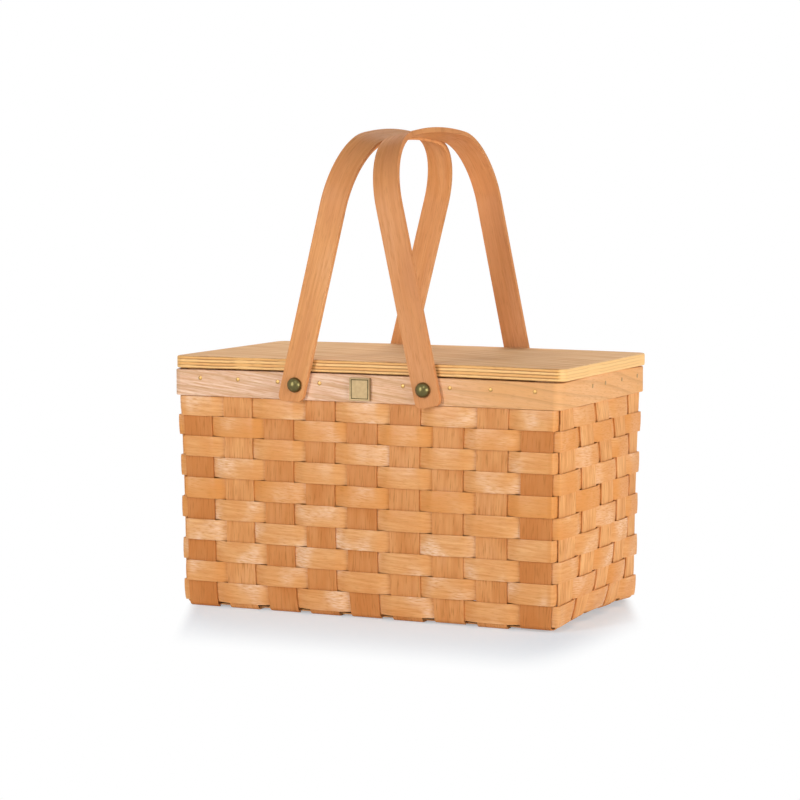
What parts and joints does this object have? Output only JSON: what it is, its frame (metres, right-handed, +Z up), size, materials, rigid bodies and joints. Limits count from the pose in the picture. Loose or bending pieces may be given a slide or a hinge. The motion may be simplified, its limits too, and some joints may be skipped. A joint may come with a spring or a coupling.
{
  "type": "picnic basket",
  "caption": "Oblong woven wood-splint picnic basket with a bent rim band, a lift-off plywood lid and a pair of bentwood strap handles that swing on rivets.",
  "frame": {"origin": "under the middle of the floor, on the surface that the basket stands on", "axes": "+X to the right along the front, +Y from the front to the back, +Z up"},
  "size_m": [0.421, 0.258, 0.4736],
  "materials": {
    "upright_splint": "clear-lacquered split wood, grain along the splint",
    "weaver_splint": "clear-lacquered split wood, paler, grain along the splint",
    "rim_band": "satin bent band",
    "lid_plywood": "satin lacquered plywood with plies showing at the edges",
    "handle_bentwood": "satin lacquered bentwood",
    "rivet_bronze": "antique bronze, polished domes",
    "badge_brass": "antique brass"
  },
  "bodies": {
    "basket": {"long_upright_1": "upright_splint", "long_upright_2": "upright_splint", "long_upright_3": "upright_splint", "long_upright_4": "upright_splint", "long_upright_5": "upright_splint", "long_upright_6": "upright_splint", "long_upright_7": "upright_splint", "long_upright_8": "upright_splint", "long_upright_9": "upright_splint", "end_upright_1": "upright_splint", "end_upright_2": "upright_splint", "end_upright_3": "upright_splint", "end_upright_4": "upright_splint", "end_upright_5": "upright_splint", "weaver_row_1": "weaver_splint", "weaver_row_2": "weaver_splint", "weaver_row_3": "weaver_splint", "weaver_row_4": "weaver_splint", "weaver_row_5": "weaver_splint", "weaver_row_6": "weaver_splint", "weaver_row_7": "weaver_splint", "weaver_row_8": "weaver_splint", "weaver_row_9": "weaver_splint", "weaver_row_10": "weaver_splint", "outer_rim": "rim_band", "inner_rim": "rim_band", "rivet_left_front": "rivet_bronze", "rivet_right_front": "rivet_bronze", "rivet_left_back": "rivet_bronze", "rivet_right_back": "rivet_bronze", "washer_left_front": "rivet_bronze", "washer_right_front": "rivet_bronze", "washer_left_back": "rivet_bronze", "washer_right_back": "rivet_bronze", "badge_plate": "badge_brass"},
    "lid": {"lid_board": "lid_plywood", "lid_batten_left": "lid_plywood", "lid_batten_right": "lid_plywood"},
    "handle_left": {"left_handle": "handle_bentwood"},
    "handle_right": {"right_handle": "handle_bentwood"}
  },
  "joints": [
    {"name": "lid_lift", "type": "slide", "parent": "basket", "child": "lid", "axis": [0, 0, 1], "range_m": [0, 0.12]},
    {"name": "left_handle_swing", "type": "hinge", "parent": "basket", "child": "handle_left", "pos_m": [-0.06772, 0, 0.2255], "axis": [0, -1, 0], "range_deg": [0, 147]},
    {"name": "right_handle_swing", "type": "hinge", "parent": "basket", "child": "handle_right", "pos_m": [0.06772, 0, 0.2255], "axis": [0, 1, 0], "range_deg": [0, 147]}
  ]
}
